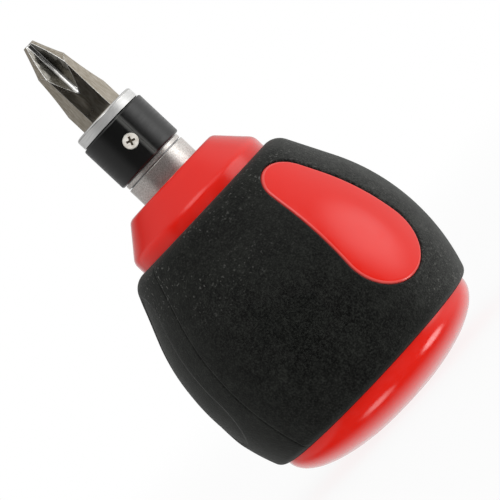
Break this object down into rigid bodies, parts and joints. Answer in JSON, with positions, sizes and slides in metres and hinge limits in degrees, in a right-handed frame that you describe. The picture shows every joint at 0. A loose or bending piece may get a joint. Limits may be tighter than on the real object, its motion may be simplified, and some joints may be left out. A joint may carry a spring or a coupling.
{
  "type": "ratcheting screwdriver",
  "caption": "Stubby ratcheting screwdriver with a round rubber grip, a forward-lock-reverse selector collar and a magnetic hexagon socket that holds a removable cross-point bit.",
  "frame": {"origin": "centre of the flat on the rear end of the handle, on which the tool stands", "axes": "+Z along the tool's axis from the handle to the bit; -Y towards the collar's screw and one flat of the bit"},
  "size_m": [0.0426, 0.0428, 0.0741],
  "materials": {
    "bit_steel": "ground tool steel",
    "bright_steel": "satin turned steel",
    "screw_steel": "bright plated",
    "tool_steel": "plain steel",
    "spring_steel": "spring steel",
    "magnet": "plated magnet",
    "bronze": "sintered bronze",
    "black_collar": "satin black",
    "red_plastic": "gloss moulded",
    "black_rubber": "matte fine grain"
  },
  "bodies": {
    "handle": {"handle_core": "red_plastic", "grip": "black_rubber", "end_cap": "red_plastic", "ratchet_housing": "tool_steel", "housing_cover": "tool_steel", "cover_screws": "screw_steel", "rear_bush": "bronze", "ferrule": "bright_steel", "thrust_washer": "bright_steel", "detent_spring": "spring_steel", "pawl_spring_a": "spring_steel", "pawl_spring_b": "spring_steel"},
    "selector": {"selector_collar": "black_collar", "selector_screw": "screw_steel", "selector_sleeve": "tool_steel"},
    "spindle": {"spindle": "bright_steel", "ratchet_gear": "tool_steel", "gear_clip": "spring_steel", "bit_magnet": "magnet"},
    "bit": {"bit": "bit_steel"},
    "pawl_a": {"pawl_a": "tool_steel"},
    "pawl_b": {"pawl_b": "tool_steel"}
  },
  "joints": [
    {"name": "spindle_spin", "type": "hinge", "parent": "handle", "child": "spindle", "pos_m": [0, 0, 0.045], "axis": [0, 0, 1], "continuous": true},
    {"name": "selector_turn", "type": "hinge", "parent": "handle", "child": "selector", "pos_m": [0, 0, 0.054], "axis": [0, 0, 1], "range_deg": [-20, 20], "deforming": ["detent_spring"]},
    {"name": "pawl_a_slide", "type": "slide", "parent": "handle", "child": "pawl_a", "axis": [1, 0, 0], "range_m": [-0.0007, 0.0007], "deforming": ["pawl_spring_a"]},
    {"name": "pawl_b_slide", "type": "slide", "parent": "handle", "child": "pawl_b", "axis": [-1, 0, 0], "range_m": [-0.0007, 0.0007], "deforming": ["pawl_spring_b"]},
    {"name": "bit_slide", "type": "slide", "parent": "spindle", "child": "bit", "axis": [0, 0, 1], "range_m": [0, 0.012]}
  ],
  "couplings": [
    {"joint": "pawl_a_slide", "follows": "selector_turn", "m_per_rad": 0.002},
    {"joint": "pawl_b_slide", "follows": "selector_turn", "m_per_rad": -0.002}
  ]
}
